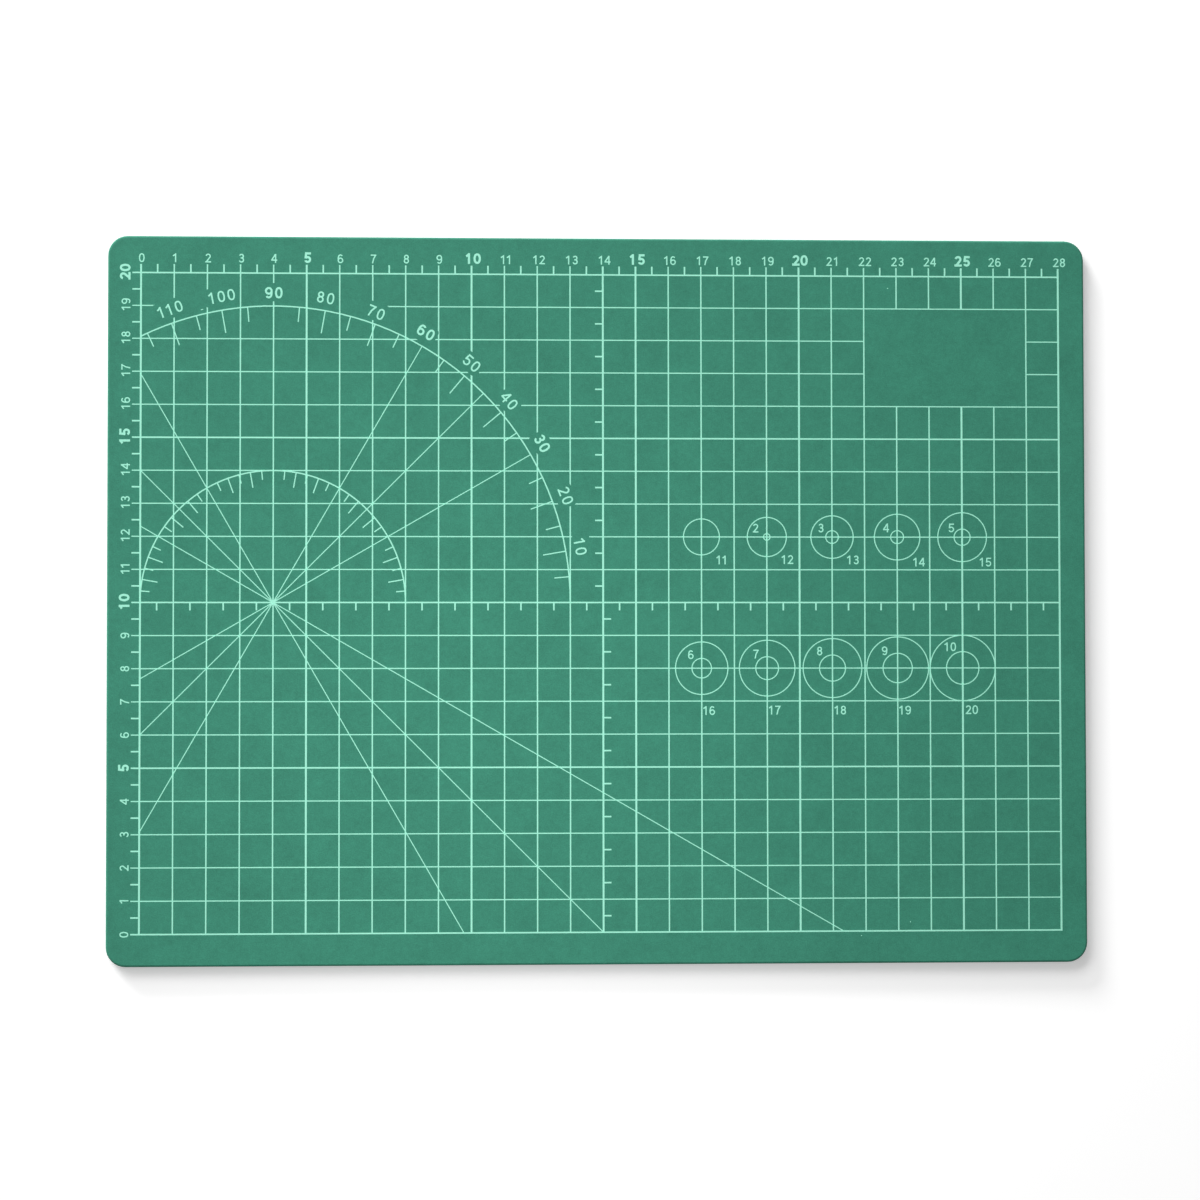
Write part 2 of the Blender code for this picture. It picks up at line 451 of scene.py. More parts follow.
def seen(bench: Bench) -> bpy.types.NodeSocket:
    """A mask of 1 for rays that show the background to the camera, straight or by reflection.

    Args:
        bench: the bench of the floor's material or of the world.

    Returns:
        The mask.
    """
    rays = bench.add("LightPath").outputs
    mirrored = bench.math("MAXIMUM", rays["Is Glossy Ray"], rays["Is Transmission Ray"])
    return bench.math("MAXIMUM", rays["Is Camera Ray"], mirrored)


# ---- flat shapes ----


def polar(radius: float, degrees: float) -> Vector:
    """A point at a radius and an angle from +X.

    Args:
        radius: distance from the centre.
        degrees: angle, counterclockwise.

    Returns:
        The point, at height zero.
    """
    angle = math.radians(degrees)
    return Vector((radius * math.cos(angle), radius * math.sin(angle), 0.0))


def add_bar(mesh: bmesh.types.BMesh, start: Vector, end: Vector, width: float) -> None:
    """Adds a flat bar between two points.

    Args:
        mesh: the mesh that takes it.
        start: middle of one end.
        end: middle of the other end.
        width: width of the bar.
    """
    along = end - start
    turn = Matrix.Rotation(math.atan2(along.y, along.x), 4, "Z")
    place = Matrix.Translation((start + end) / 2) @ turn
    size = Matrix.Diagonal((along.length, width, 1.0, 1.0))
    bmesh.ops.create_grid(mesh, x_segments=1, y_segments=1, size=0.5, matrix=place @ size)


def add_ring(
    mesh: bmesh.types.BMesh, centre: Vector, radius: float, width: float, steps: int
) -> None:
    """Adds a flat ring.

    Args:
        mesh: the mesh that takes it.
        centre: its centre.
        radius: radius of the middle of its line.
        width: width of its line.
        steps: segments round it.
    """
    inner = mesh.verts.new(centre + Vector((radius - width / 2, 0, 0)))
    outer = mesh.verts.new(centre + Vector((radius + width / 2, 0, 0)))
    line = mesh.edges.new((inner, outer))
    bmesh.ops.spin(
        mesh,
        geom=[inner, outer, line],
        cent=centre,
        axis=(0, 0, 1),
        angle=math.tau,
        steps=steps,
        use_merge=True,
        use_duplicate=False,
    )


def thicken(mesh: bmesh.types.BMesh, low: float, high: float) -> None:
    """Turns flat faces into closed bodies with outward faces.

    Args:
        mesh: the mesh, flat at height zero.
        low: height of the lower face.
        high: height of the upper face.
    """
    grown = bmesh.ops.extrude_face_region(mesh, geom=mesh.faces[:])
    lifted = [item for item in grown["geom"] if isinstance(item, bmesh.types.BMVert)]
    bmesh.ops.translate(mesh, verts=lifted, vec=(0, 0, high - low))
    bmesh.ops.translate(mesh, verts=mesh.verts[:], vec=(0, 0, low))
    bmesh.ops.recalc_face_normals(mesh, faces=mesh.faces[:])


def bond(piece: bpy.types.Object) -> None:
    """Keeps a film of ink from throwing a shadow, since real ink lies in the sheet's surface."""
    piece.visible_shadow = False


def add_print(name: str, mesh: bmesh.types.BMesh, ink: bpy.types.Material) -> None:
    """Turns a bmesh into a piece of the print that rides on the mat.

    Args:
        name: the piece's name.
        mesh: its mesh, in place, which is freed.
        ink: the print's finish.
    """
    data = bpy.data.meshes.new(name)
    mesh.to_mesh(data)
    mesh.free()
    data.materials.append(ink)
    piece = bpy.data.objects.new(name, data)
    bond(piece)
    bpy.context.scene.collection.objects.link(piece)
    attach(piece, BODY)
    LOG.info("%s: %d faces", name, len(data.polygons))


def add_bars(name: str, bars: Iterator[Bar], ink: bpy.types.Material) -> None:
    """Builds a piece of straight marks in the ground film.

    Args:
        name: the piece's name.
        bars: each mark as its two ends and its width.
        ink: the print's finish.
    """
    mesh = bmesh.new()
    for start, end, width in bars:
        add_bar(mesh, start, end, width)
    thicken(mesh, *Film.GROUND.heights())
    add_print(name, mesh, ink)


# ---- numerals ----


@dataclass(frozen=True)
class Move:
    """One stretch of a stroke: straight for its reach, or an arc of that radius if it turns."""

    reach: float
    turn: float = 0.0


@dataclass(frozen=True)
class Stroke:
    """A pen stroke: where it starts, which way it heads and how it goes on."""

    start: Spot
    heading: float
    moves: tuple[Move, ...]


class Pen:
    """A flat nib that leaves a ribbon behind it."""

    ARC_STEP = 15.0

    def __init__(self, mesh: bmesh.types.BMesh, stroke: Stroke, width: float) -> None:
        """Sets the nib down at the start of a stroke.

        Args:
            mesh: the mesh that takes the ribbon.
            stroke: the stroke to draw.
            width: width of the ribbon.
        """
        self.mesh = mesh
        self.spot = Vector((*stroke.start, 0.0))
        self.heading = stroke.heading
        side = polar(width / 2, self.heading + RIGHT_ANGLE)
        left = mesh.verts.new(self.spot + side)
        right = mesh.verts.new(self.spot - side)
        self.nib = [left, right, mesh.edges.new((left, right))]

    def go(self, move: Move) -> None:
        """Draws one stretch.

        Args:
            move: the stretch.
        """
        if move.turn:
            self.bend(move.reach, move.turn)
        else:
            self.run(move.reach)

    def run(self, length: float) -> None:
        """Draws straight ahead.

        Args:
            length: how far.
        """
        step = polar(length, self.heading)
        edge = [item for item in self.nib if isinstance(item, bmesh.types.BMEdge)]
        self.nib = bmesh.ops.extrude_edge_only(self.mesh, edges=edge)["geom"]
        ends = [item for item in self.nib if isinstance(item, bmesh.types.BMVert)]
        bmesh.ops.translate(self.mesh, verts=ends, vec=step)
        self.nib = [item for item in self.nib if not isinstance(item, bmesh.types.BMFace)]
        self.spot += step

    def bend(self, radius: float, degrees: float) -> None:
        """Draws an arc.

        Args:
            radius: radius of the arc.
            degrees: how far it turns, to the left if positive.
        """
        centre = self.spot + polar(radius, self.heading + math.copysign(RIGHT_ANGLE, degrees))
        turned = bmesh.ops.spin(
            self.mesh,
            geom=self.nib,
            cent=centre,
            axis=(0, 0, 1),
            angle=math.radians(degrees),
            steps=max(2, math.ceil(abs(degrees) / self.ARC_STEP)),
            use_duplicate=False,
        )
        self.nib = turned["geom_last"]
        turn = Matrix.Rotation(math.radians(degrees), 3, "Z")
        self.spot = centre + turn @ (self.spot - centre)
        self.heading += degrees


class Numerals:
    """Plain grotesque numerals of height 1, drawn with a pen of one width and fused into bodies."""

    DEPTH = 0.05
    ADVANCE = 0.777
    CLOSE_ONES = 0.10
    WELD = 1e-5
    WAIST = 0.525
    TIP = 0.42
    ONE_WIDTH, FLAG_LEFT, FLAG_LOW, FLAG_HIGH = 0.46, 0.10, 0.755, 0.995
    TWO_INSET, TWO_HOOK, TWO_SHOULDER = 0.025, 168.0, -38.0
    THREE_HOOK, THREE_TONGUE, THREE_BOWL_TURN = 162.0, 0.09, -255.0
    FOUR_STEM, FOUR_STEM_INSET, FOUR_BAR, FOUR_LEFT = 0.56, 1.4, 0.235, -0.03
    FIVE_BOWL, FIVE_HIP, FIVE_BOWL_TURN, FIVE_LEAN = 0.655, 146.0, -304.0, 0.055
    FIVE_FOOT, FIVE_BAR_GAP = (0.1, 0.2), 0.02
    SIX_TAIL_TURN = 62.0
    SEVEN_HEADING, SEVEN_TURN, SEVEN_INSET, SEVEN_LEFT = -125.0, 30.0, 1.15, 0.02

    def __init__(self, weight: Weight) -> None:
        """Draws the ten numerals of a weight.

        Args:
            weight: stroke and box width.
        """
        self.stroke = weight.stroke
        self.half = weight.stroke / 2
        self.box = weight.box
        first_five = (self.zero, self.one, self.two, self.three, self.four)
        last_five = (self.five, self.six, self.seven, self.eight, self.nine)
        self.bodies = [self.fuse(draw()) for draw in first_five + last_five]

    def oval(self, width: float, height: float, tip: float) -> tuple[float, float, float]:
        """Works out an upright oval of four arcs.

        Args:
            width: width at the middle of the stroke.
            height: height at the middle of the stroke.
            tip: radius of the arcs at the top and bottom.

        Returns:
            The radius of the flank arcs, half their angle, and the angle of the tip arcs.
        """
        wide, tall = width / 2, height / 2
        rise = tall - tip
        flank = (wide**2 + rise**2 - tip**2) / (2 * (wide - tip))
        lean = math.degrees(math.atan2(rise, flank - wide))
        return flank, lean, 180 - 2 * lean

    def line(self, start: Spot, end: Spot) -> Stroke:
        """A straight stroke.

        Args:
            start: where it starts.
            end: where it ends.

        Returns:
            The stroke.
        """
        along = Vector(end) - Vector(start)
        heading = math.degrees(math.atan2(along.y, along.x))
        return Stroke(start, heading, (Move(along.length),))

    def loop(self, middle: float, foot: float, radius: float) -> Stroke:
        """A circle that stands on a height, at the middle of its stroke."""
        return Stroke((middle + radius, foot + radius), RIGHT_ANGLE, (Move(radius, 360.0),))

    def zero(self) -> list[Stroke]:
        """The numeral 0.

        Returns:
            Its stroke.
        """
        width = self.box - self.stroke
        tip = self.TIP * width
        flank, lean, tip_turn = self.oval(width, 1 - self.stroke, tip)
        cap = Move(tip, tip_turn)
        moves = (Move(flank, lean), cap, Move(flank, 2 * lean), cap, Move(flank, lean))
        return [Stroke((self.box - self.half, 0.5), RIGHT_ANGLE, moves)]

    def one(self) -> list[Stroke]:
        """The numeral 1, with a flag and no foot.

        Returns:
            Its strokes.
        """
        stem = self.ONE_WIDTH - self.half
        low = (self.FLAG_LEFT, self.FLAG_LOW - self.half / 2)
        flag = self.line(low, (stem, self.FLAG_HIGH - self.half))
        return [self.line((stem, 0.0), (stem, 1.0)), flag]

    def two(self) -> list[Stroke]:
        """The numeral 2.

        Returns:
            Its strokes.
        """
        radius = (self.box - self.stroke) / 2 - self.TWO_INSET
        centre = Vector((self.box / 2, 1 - self.half - radius, 0.0))
        start = centre + polar(radius, self.TWO_HOOK)
        shoulder = centre + polar(radius, self.TWO_SHOULDER)
        slope = math.radians(RIGHT_ANGLE + self.TWO_SHOULDER)
        fall = Move((shoulder.y - self.half) / math.sin(slope))
        hook = Move(radius, self.TWO_SHOULDER - self.TWO_HOOK)
        sweep = Stroke((start.x, start.y), self.TWO_HOOK - RIGHT_ANGLE, (hook, fall))
        return [sweep, self.line((0.0, self.half), (self.box, self.half))]

    def bowls(self) -> Spot:
        """Radii of the upper and the lower bowl, at the middle of the stroke."""
        return (1 - self.half - self.WAIST) / 2, (self.WAIST - self.half) / 2

    def three(self) -> list[Stroke]:
        """The numeral 3.

        Returns:
            Its strokes.
        """
        upper, lower = self.bowls()
        middle = self.box - self.half - lower
        start = Vector((middle, self.WAIST + upper, 0.0)) + polar(upper, self.THREE_HOOK)
        tongue = Move(self.THREE_TONGUE)
        hook = Move(upper, -(self.THREE_HOOK + RIGHT_ANGLE))
        top = Stroke((start.x, start.y), self.THREE_HOOK - RIGHT_ANGLE, (hook, tongue))
        bowl = (tongue, Move(lower, self.THREE_BOWL_TURN))
        return [top, Stroke((middle - self.THREE_TONGUE, self.WAIST), 0.0, bowl)]

    def four(self) -> list[Stroke]:
        """The numeral 4.

        Returns:
            Its strokes.
        """
        stem = self.FOUR_STEM - self.half * self.FOUR_STEM_INSET
        bar = self.FOUR_BAR + self.half
        low = Vector((self.FOUR_LEFT, bar + self.half, 0.0))
        high = Vector((stem - self.half, 1.0, 0.0))
        along = high - low
        heading = math.degrees(math.atan2(along.y, along.x))
        inward = polar(self.half, heading - RIGHT_ANGLE)
        slope = self.line(tuple((low + inward).xy), tuple((high + inward).xy))
        cross = self.line((self.FOUR_LEFT, bar), (self.box, bar))
        return [self.line((stem, 0.0), (stem, 1.0)), cross, slope]

    def five(self) -> list[Stroke]:
        """The numeral 5.

        Returns:
            Its strokes.
        """
        radius = (self.FIVE_BOWL - self.stroke) / 2
        centre = Vector((self.box - self.half - radius, self.half + radius, 0.0))
        hip = centre + polar(radius, self.FIVE_HIP)
        sweep = (Move(radius, self.FIVE_BOWL_TURN),)
        bowl = Stroke((hip.x, hip.y), self.FIVE_HIP - RIGHT_ANGLE, sweep)
        left, down = self.FIVE_FOOT
        foot = (hip.x - self.half * left, hip.y - self.half * down)
        head, top = hip.x + self.FIVE_LEAN, 1 - self.half
        bar = self.line((head - self.half, top), (self.box - self.FIVE_BAR_GAP, top))
        return [bowl, self.line((head, 1.0), foot), bar]

    def six(self) -> list[Stroke]:
        """The numeral 6.

        Returns:
            Its strokes.
        """
        width = self.box - self.stroke
        tip = self.TIP * width
        flank, lean, tip_turn = self.oval(width, 1 - self.stroke, tip)
        rise = Move(0.5 - self.half - width / 2)
        tail = Move(tip, -(tip_turn / 2 + self.SIX_TAIL_TURN))
        start = (self.half, self.half + width / 2)
        back = Stroke(start, RIGHT_ANGLE, (rise, Move(flank, -lean), tail))
        return [self.loop(self.box / 2, self.half, width / 2), back]

    def seven(self) -> list[Stroke]:
        """The numeral 7.

        Returns:
            Its strokes.
        """
        top = 1 - self.half
        half_turn = self.SEVEN_TURN / 2
        slope = -(self.SEVEN_HEADING + half_turn)
        curve = top / (2 * math.sin(math.radians(half_turn)) * math.sin(math.radians(slope)))
        start = (self.box - self.half * self.SEVEN_INSET, top)
        leg = Stroke(start, self.SEVEN_HEADING, (Move(curve, self.SEVEN_TURN),))
        return [self.line((self.SEVEN_LEFT, top), (self.box, top)), leg]

    def eight(self) -> list[Stroke]:
        """The numeral 8.

        Returns:
            Its strokes.
        """
        upper, lower = self.bowls()
        middle = self.box / 2
        return [self.loop(middle, self.half, lower), self.loop(middle, self.WAIST, upper)]

    def nine(self) -> list[Stroke]:
        """The numeral 9, a 6 turned upside down.

        Returns:
            Its strokes.
        """
        turned = []
        for stroke in self.six():
            across, up = stroke.start
            start = (self.box - across, 1 - up)
            turned.append(Stroke(start, stroke.heading + 2 * RIGHT_ANGLE, stroke.moves))
        return turned

    def fuse(self, strokes: list[Stroke]) -> bpy.types.Mesh:
        """Draws a numeral's strokes and joins them into one body.

        Args:
            strokes: the strokes, which overlap where they join.

        Returns:
            The mesh, of height 1, from 0 to the numerals' depth.
        """
        parts = []
        for stroke in strokes:
            mesh = bmesh.new()
            pen = Pen(mesh, stroke, self.stroke)
            for move in stroke.moves:
                pen.go(move)
            bmesh.ops.remove_doubles(mesh, verts=mesh.verts[:], dist=self.WELD)
            thicken(mesh, 0.0, self.DEPTH)
            data = bpy.data.meshes.new("stroke")
            mesh.to_mesh(data)
            mesh.free()
            part = bpy.data.objects.new("stroke", data)
            bpy.context.scene.collection.objects.link(part)
            parts.append(part)
        for other in parts[1:]:
            join = parts[0].modifiers.new("join", "BOOLEAN")
            join.operation = "UNION"
            join.object = other
            join.solver = "EXACT"
        graph = bpy.context.evaluated_depsgraph_get()
        fused = bpy.data.meshes.new_from_object(parts[0].evaluated_get(graph))
        for part in parts:
            bpy.data.meshes.remove(part.data)
        mesh = bmesh.new()
        mesh.from_mesh(fused)
        bmesh.ops.remove_doubles(mesh, verts=mesh.verts[:], dist=self.WELD)
        bmesh.ops.dissolve_degenerate(mesh, edges=mesh.edges[:], dist=self.WELD)
        mesh.to_mesh(fused)
        mesh.free()
        return fused

    def write(self, mesh: bmesh.types.BMesh, label: "Label", low: float, high: float) -> None:
        """Adds a number to a mesh.

        Args:
            mesh: the mesh that takes it.
            label: the number and its place.
            low: height of the ink's lower face.
            high: height of the ink's upper face.
        """
        figures = str(label.number)
        pitch = self.ADVANCE * label.tracking
        place = Matrix.Translation((label.place.x, label.place.y, low))
        place @= Matrix.Rotation(math.radians(label.turn), 4, "Z")
        size = Matrix.Diagonal((label.height, label.height, (high - low) / self.DEPTH, 1.0))
        steps = [0.0]
        for pair in zip(figures, figures[1:]):
            steps.append(steps[-1] + pitch - (self.CLOSE_ONES if pair == ("1", "1") else 0.0))
        for figure, step in zip(figures, steps):
            shift = step - steps[-1] / 2 - self.box / 2
            known = len(mesh.verts)
            mesh.from_mesh(self.bodies[int(figure)])
            mesh.verts.ensure_lookup_table()
            fresh = mesh.verts[known:]
            matrix = place @ size @ Matrix.Translation((shift, -0.5, 0.0))
            bmesh.ops.transform(mesh, matrix=matrix, verts=fresh)


@dataclass(frozen=True)
class Label:
    """A printed number: its middle on the sheet, its height, turn, weight and spacing."""

    number: int
    place: Vector
    height: float
    turn: float = 0.0
    weight: Weight = Weight.REGULAR
    tracking: float = 1.0


# ---- the mat ----


@dataclass(frozen=True)
class Field:
    """The ruled field, in squares from its lower left corner."""

    corner: Vector
    square: float = 0.010
    columns: int = 28
    rows: int = 20
    heavy_every: int = 5
    upright_line: float = 0.00040
    upright_heavy: float = 0.00056
    level_line: float = 0.00033
    level_heavy: float = 0.00045

    @classmethod
    def measured(cls) -> "Field":
        """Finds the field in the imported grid.

        Returns:
            The field.
        """
        low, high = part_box(Film.GROUND.value)
        half = Vector((cls.columns, cls.rows, 0.0)) * (cls.square / 2)
        middle = (low + high) / 2
        return cls(Vector((middle.x - half.x, middle.y - half.y, 0.0)))

    def at(self, column: float, row: float) -> Vector:
        """The point on the sheet at a column and a row, at height zero."""
        return self.corner + Vector((column, row, 0.0)) * self.square

    def line_width(self, index: int, count: int, regular: float, heavy: float) -> float:
        """Width of a ruled line.

        Args:
            index: which line.
            count: the last line.
            regular: width of most lines.
            heavy: width of every fifth line, the middle one and the last.

        Returns:
            The line's width.
        """
        is_heavy = index % self.heavy_every == 0 or index in (count // 2, count)
        return heavy if is_heavy else regular

    def upright_width(self, column: int) -> float:
        """Width of the line that runs up the sheet at a column."""
        return self.line_width(column, self.columns, self.upright_line, self.upright_heavy)

    def level_width(self, row: int) -> float:
        """Width of the line that runs across the sheet at a row."""
        return self.line_width(row, self.rows, self.level_line, self.level_heavy)


@dataclass(frozen=True)
class Laminate:
    """The five plies, which keep their CAD shapes and take their finishes here."""

    face: SheetPlastic = SheetPlastic(
        name="matt_face_plastic",
        colour=(0.0449, 0.2398, 0.1608),
        # Paler than the face: partly a painted highlight on the rounded rim and sides.
        wall_colour=(0.080, 0.296, 0.206),
        roughness=0.75,
        cloud=0.19,
        fleck=0.26,
        grain=0.55,
        bump=0.35,
    )
    tie: SheetPlastic = SheetPlastic(
        name="dark_tie_plastic",
        colour=(0.0260, 0.1150, 0.0800),
        wall_colour=(0.030, 0.120, 0.085),
        roughness=0.62,
        cloud=0.12,
        fleck=0.15,
        grain=0.30,
        bump=0.30,
    )
    core: SheetPlastic = SheetPlastic(
        name="stiff_core_plastic",
        colour=(0.6200, 0.6400, 0.6000),
        wall_colour=(0.560, 0.580, 0.540),
        roughness=0.50,
        cloud=0.04,
        fleck=0.06,
        grain=0.10,
        bump=0.20,
    )

    def dress(self, nodes: dict[str, bpy.types.Object]) -> None:
        """Gives each ply its finish.

        Args:
            nodes: the CAD nodes by name.
        """
        skin, wall = skin_group(), wall_group()
        plies = {
            self.face: ("top_cutting_face", "bottom_cutting_face"),
            self.tie: ("upper_tie_ply", "lower_tie_ply"),
            self.core: ("rigid_core",),
        }
        for finish, names in plies.items():
            material = finish.material(skin, wall)
            for name in names:
                dress_node(nodes[name], material)


def dress_node(node: bpy.types.Object, material: bpy.types.Material) -> None:
    """Puts a finish on a CAD node.

    Args:
        node: the node's object.
        material: its finish.
    """
    for slot in node.material_slots:
        slot.material = material
    LOG.info("%s: %s", node.name, material.name)


@dataclass(frozen=True)
class RulerMarks:
    """The lines' ends and the half-centimetre marks outside the field, at its top and left."""

    field: Field
    reach: float = 0.26
    half_mark: float = 0.00046

    def bars(self) -> Iterator[Bar]:
        """Lays out the marks.

        Yields:
            Each mark as its two ends and its width.
        """
        field = self.field
        top = field.level_width(field.rows) / 2 / field.square
        side = field.upright_width(0) / 2 / field.square
        for half in range(2 * field.columns + 1):
            width = self.half_mark if half % 2 else field.upright_width(half // 2)
            start = field.at(half / 2, field.rows + top)
            yield start, field.at(half / 2, field.rows + self.reach), width
        for half in range(2 * field.rows + 1):
            width = self.half_mark if half % 2 else field.level_width(half // 2)
            yield field.at(-self.reach, half / 2), field.at(-side, half / 2), width

    def build(self, ink: bpy.types.Material) -> None:
        """Builds the piece in the print's finish."""
        add_bars("ruler_marks", self.bars(), ink)


@dataclass(frozen=True)
class CentreMarks:
    """The half-centimetre marks along the field's two centre lines."""

    field: Field
    reach: float = 0.24
    mark: float = 0.00046

    def bars(self) -> Iterator[Bar]:
        """Lays out the marks.

        Yields:
            Each mark as its two ends and its width.
        """
        field = self.field
        column, row = field.columns // 2, field.rows // 2
        below = field.level_width(row) / 2 / field.square
        beside = field.upright_width(column) / 2 / field.square
        for index in range(field.columns):
            place = index + 0.5
            yield field.at(place, row - self.reach), field.at(place, row - below), self.mark
        for index in range(field.rows):
            place = index + 0.5
            away = 1 if index < row else -1
            start = field.at(column + away * beside, place)
            yield start, field.at(column + away * self.reach, place), self.mark

    def build(self, ink: bpy.types.Material) -> None:
        """Builds the piece in the print's finish."""
        add_bars("centre_line_marks", self.bars(), ink)


@dataclass(frozen=True)
class Ring:
    """A ring of a circle template: its number in mm, the number's place in squares from the
    centre, and the diameter that the print gives it where that is another."""

    number: int
    beside: Spot
    drawn: float | None = None

    @property
    def diameter(self) -> float:
        """The diameter of the ring's line, in metres."""
        return (self.drawn or self.number) / 1000


@dataclass(frozen=True)
class CircleTemplates:
    """Two rows of ringed circles for drawing round holes, each named by its diameter in mm.

    A template is its column, its row and its rings.
    """

    field: Field
    line: float = 0.00031
    figure_height: float = 0.00268
    steps_per_metre: float = 4000.0
    fewest_steps: int = 20
    templates: tuple[tuple[int, int, tuple[Ring, ...]], ...] = (
        (17, 12, (Ring(11, (0.613, -0.703)),)),
        (19, 12, (Ring(12, (0.621, -0.688)), Ring(2, (-0.340, 0.270)))),
        (21, 12, (Ring(13, (0.628, -0.698)), Ring(3, (-0.345, 0.275), 3.9))),
        (23, 12, (Ring(14, (0.660, -0.763)), Ring(4, (-0.334, 0.283)))),
        (25, 12, (Ring(15, (0.706, -0.762)), Ring(5, (-0.329, 0.285)))),
        (17, 8, (Ring(16, (0.215, -1.289)), Ring(6, (-0.330, 0.411)))),
        (19, 8, (Ring(17, (0.218, -1.278)), Ring(7, (-0.341, 0.429)))),
        (21, 8, (Ring(18, (0.227, -1.282)), Ring(8, (-0.391, 0.519)))),
        (23, 8, (Ring(19, (0.211, -1.284)), Ring(9, (-0.399, 0.525)))),
        (25, 8, (Ring(20, (0.275, -1.275)), Ring(10, (-0.390, 0.648)))),
    )

    def labels(self) -> Iterator[Label]:
        """Lays out the diameters beside the rings.

        Yields:
            The numbers.
        """
        for column, row, rings in self.templates:
            for ring in rings:
                across, up = ring.beside
                place = self.field.at(column + across, row + up)
                yield Label(ring.number, place, self.figure_height)

    def build(self, ink: bpy.types.Material) -> None:
        """Builds the rings over the grid.

        Args:
            ink: the print's finish.
        """
        mesh = bmesh.new()
        for column, row, rings in self.templates:
            for ring in rings:
                steps = max(self.fewest_steps, round(ring.diameter * self.steps_per_metre))
                add_ring(mesh, self.field.at(column, row), ring.diameter / 2, self.line, steps)
        thicken(mesh, *Film.OVERPRINT.heights())
        add_print("circle_templates", mesh, ink)


@dataclass(frozen=True)
class RulerFigures:
    """The centimetre numbers along the top and the left of the field.

    A shift is how far a number stands past its line, first with one figure, then with two.
    """

    field: Field
    baseline: float = 0.315
    height: float = 0.00270
    heavy_height: float = 0.00325
    top_shifts: Spot = (0.020, 0.046)
    left_shifts: Spot = (0.0, 0.022)

    def labels(self) -> Iterator[Label]:
        """Lays out the numbers.

        Yields:
            The numbers.
        """
        field = self.field
        for column in range(field.columns + 1):
            height, weight = self.style(column)
            rise = self.baseline + height / 2 / field.square
            past = self.top_shifts[len(str(column)) - 1]
            yield Label(column, field.at(column + past, field.rows + rise), height, 0.0, weight)
        for row in range(field.rows + 1):
            height, weight = self.style(row)
            rise = self.baseline + height / 2 / field.square
            past = self.left_shifts[len(str(row)) - 1]
            yield Label(row, field.at(-rise, row + past), height, RIGHT_ANGLE, weight)

    def style(self, number: int) -> tuple[float, Weight]:
        """Chooses a number's style: every fifth one is bold.

        Args:
            number: the number.

        Returns:
            Its height and weight.
        """
        if number and number % self.field.heavy_every == 0:
            return self.heavy_height, Weight.BOLD
        return self.height, Weight.REGULAR


@dataclass(frozen=True)
class ProtractorFigures:
    """The degree numbers outside the large arc.

    Each stands a little off its mark: clockwise along the arc and outwards, in squares, and
    turned against the arc, in degrees.
    """

    field: Field
    column: int = 4
    row: int = 10
    radius: float = 9.42
    height: float = 0.00346
    tracking: float = 1.13
    medium_every: int = 30
    shifts: tuple[tuple[int, float, float, float], ...] = (
        (10, -0.071, 0.038, 0.5),
        (20, -0.025, 0.022, 1.5),
        (30, -0.127, 0.061, -0.5),
        (40, -0.110, 0.002, 1.0),
        (50, -0.078, 0.018, -0.5),
        (60, -0.110, 0.004, 0.0),
        (70, -0.101, -0.073, -2.2),
        (80, -0.057, -0.032, 0.5),
        (90, 0.005, -0.017, 0.0),
        (100, 0.054, -0.005, 1.0),
        (110, 0.090, -0.003, 0.0),
    )

    def labels(self) -> Iterator[Label]:
        """Lays out the numbers.

        Yields:
            The numbers.
        """
        centre = self.field.at(self.column, self.row)
        for degrees, along, outward, turn in self.shifts:
            lean = degrees - RIGHT_ANGLE
            place = polar(self.radius + outward, degrees) + polar(along, lean)
            weight = Weight.REGULAR if degrees % self.medium_every else Weight.MEDIUM
            spot = centre + place * self.field.square
            yield Label(degrees, spot, self.height, lean + turn, weight, self.tracking)


class Figures:
    """All the numbers of the print, written with numerals of each weight."""

    def __init__(self) -> None:
        """Draws the numerals."""
        self.numerals = {weight: Numerals(weight) for weight in Weight}

    def build(self, name: str, labels: Iterator[Label], ink: bpy.types.Material) -> None:
        """Builds a piece of numbers in the ground film.

        Args:
            name: the piece's name.
            labels: the numbers and their places.
            ink: the print's finish.
        """
        mesh = bmesh.new()
        for label in labels:
            self.numerals[label.weight].write(mesh, label, *Film.GROUND.heights())
        add_print(name, mesh, ink)


@dataclass(frozen=True)
class InkFlecks:
    """A few specks of stray ink, each a column, a row, a length and a turn."""

    field: Field
    width: float = 0.00026
    segments: int = 10
    specks: tuple[tuple[float, float, float, float], ...] = (
        (22.74, 19.63, 0.00034, 20.0),
        (23.36, 0.27, 0.00032, 70.0),
        (21.86, -0.14, 0.00030, 0.0),
        (1.84, 18.88, 0.00085, 12.0),
    )

    def build(self, ink: bpy.types.Material) -> None:
        """Builds the piece.

        Args:
            ink: the print's finish.
        """
        mesh = bmesh.new()
        for column, row, length, turn in self.specks:
            place = Matrix.Translation(self.field.at(column, row))
            place @= Matrix.Rotation(math.radians(turn), 4, "Z")
            place @= Matrix.Diagonal((length / 2, self.width / 2, 1.0, 1.0))
            bmesh.ops.create_circle(
                mesh, cap_ends=True, segments=self.segments, radius=1.0, matrix=place
            )
        thicken(mesh, *Film.GROUND.heights())
        add_print("ink_flecks", mesh, ink)


# ---- the studio ----


@dataclass(frozen=True)
class Softbox:
    """A rectangular lamp that faces a point of the mat and stays out of the picture."""

    name: str
    place: Vector
    target: Vector
    width: float
    height: float
    watts: float

    def hang(self) -> None:
        """Adds the lamp."""
        lamp = bpy.data.lights.new(self.name, "AREA")
        lamp.shape = "RECTANGLE"
        lamp.size = self.width
        lamp.size_y = self.height
        lamp.energy = self.watts
        box = bpy.data.objects.new(self.name, lamp)
        box.location = self.place
        box.visible_camera = False
        box.rotation_euler = (self.target - self.place).to_track_quat("-Z", "Y").to_euler()
        bpy.context.scene.collection.objects.link(box)


